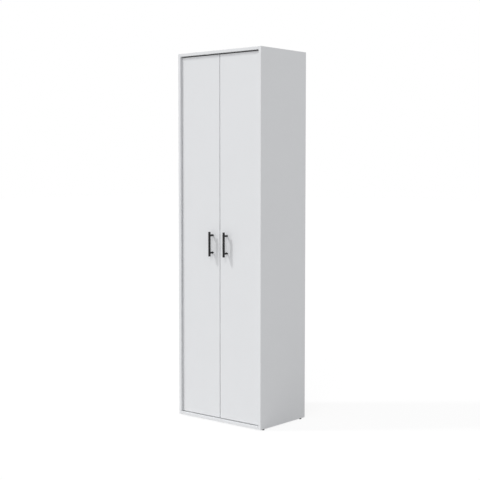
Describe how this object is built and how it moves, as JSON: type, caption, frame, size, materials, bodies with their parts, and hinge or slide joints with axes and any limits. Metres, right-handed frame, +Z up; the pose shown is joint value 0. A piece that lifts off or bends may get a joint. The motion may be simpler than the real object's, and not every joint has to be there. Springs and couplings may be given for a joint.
{
  "type": "broom cupboard",
  "caption": "Tall white broom cupboard with a pair of inset hinged doors, black bar handles, an upper shelf, and a broom bay beside a shelved bay.",
  "frame": {"origin": "on the floor, under the middle of the whole object's box", "axes": "+Z up; -Y the way the doors face and open; +X to the right of someone who faces the doors"},
  "size_m": [0.6, 0.417, 2.05],
  "materials": {
    "white_board": "particle board faced and edged in satin white melamine, with a faint fine grain",
    "back_sheet": "thin hardboard, lacquered white on its inner face",
    "white_plastic": "extruded white plastic, slightly glossy",
    "black_metal": "satin black powder coat",
    "hinge_steel": "bright nickel-plated pressed steel",
    "black_plastic": "moulded matt black plastic"
  },
  "bodies": {
    "carcass": {"left_side": "white_board", "right_side": "white_board", "top_panel": "white_board", "bottom_panel": "white_board", "upper_shelf": "white_board", "divider": "white_board", "adjustable_shelf_1": "white_board", "adjustable_shelf_2": "white_board", "adjustable_shelf_3": "white_board", "back_panel_lower": "back_sheet", "back_panel_upper": "back_sheet", "back_joint_strip": "white_plastic", "shelf_pin_1_front_left": "hinge_steel", "shelf_pin_1_front_right": "hinge_steel", "shelf_pin_1_rear_left": "hinge_steel", "shelf_pin_1_rear_right": "hinge_steel", "shelf_pin_2_front_left": "hinge_steel", "shelf_pin_2_front_right": "hinge_steel", "shelf_pin_2_rear_left": "hinge_steel", "shelf_pin_2_rear_right": "hinge_steel", "shelf_pin_3_front_left": "hinge_steel", "shelf_pin_3_front_right": "hinge_steel", "shelf_pin_3_rear_left": "hinge_steel", "shelf_pin_3_rear_right": "hinge_steel", "foot_front_left": "black_plastic", "foot_rear_left": "black_plastic", "foot_front_right": "black_plastic", "foot_rear_right": "black_plastic", "left_hinge_1_arm": "hinge_steel", "left_hinge_1_plate": "hinge_steel", "left_hinge_2_arm": "hinge_steel", "left_hinge_2_plate": "hinge_steel", "left_hinge_3_arm": "hinge_steel", "left_hinge_3_plate": "hinge_steel", "left_hinge_4_arm": "hinge_steel", "left_hinge_4_plate": "hinge_steel", "right_hinge_1_arm": "hinge_steel", "right_hinge_1_plate": "hinge_steel", "right_hinge_2_arm": "hinge_steel", "right_hinge_2_plate": "hinge_steel", "right_hinge_3_arm": "hinge_steel", "right_hinge_3_plate": "hinge_steel", "right_hinge_4_arm": "hinge_steel", "right_hinge_4_plate": "hinge_steel"},
    "left_door_leaf": {"left_door": "white_board", "left_hinge_1_cup": "hinge_steel", "left_hinge_2_cup": "hinge_steel", "left_hinge_3_cup": "hinge_steel", "left_hinge_4_cup": "hinge_steel", "left_handle_bar": "black_metal", "left_handle_post_lower": "black_metal", "left_handle_post_upper": "black_metal"},
    "right_door_leaf": {"right_door": "white_board", "right_hinge_1_cup": "hinge_steel", "right_hinge_2_cup": "hinge_steel", "right_hinge_3_cup": "hinge_steel", "right_hinge_4_cup": "hinge_steel", "right_handle_bar": "black_metal", "right_handle_post_lower": "black_metal", "right_handle_post_upper": "black_metal"}
  },
  "joints": [
    {"name": "left_door_swing", "type": "hinge", "parent": "carcass", "child": "left_door_leaf", "pos_m": [-0.261, -0.16341, 1.027], "axis": [0, 0, -1], "range_deg": [0, 105]},
    {"name": "right_door_swing", "type": "hinge", "parent": "carcass", "child": "right_door_leaf", "pos_m": [0.261, -0.16341, 1.027], "axis": [0, 0, 1], "range_deg": [0, 105]}
  ]
}
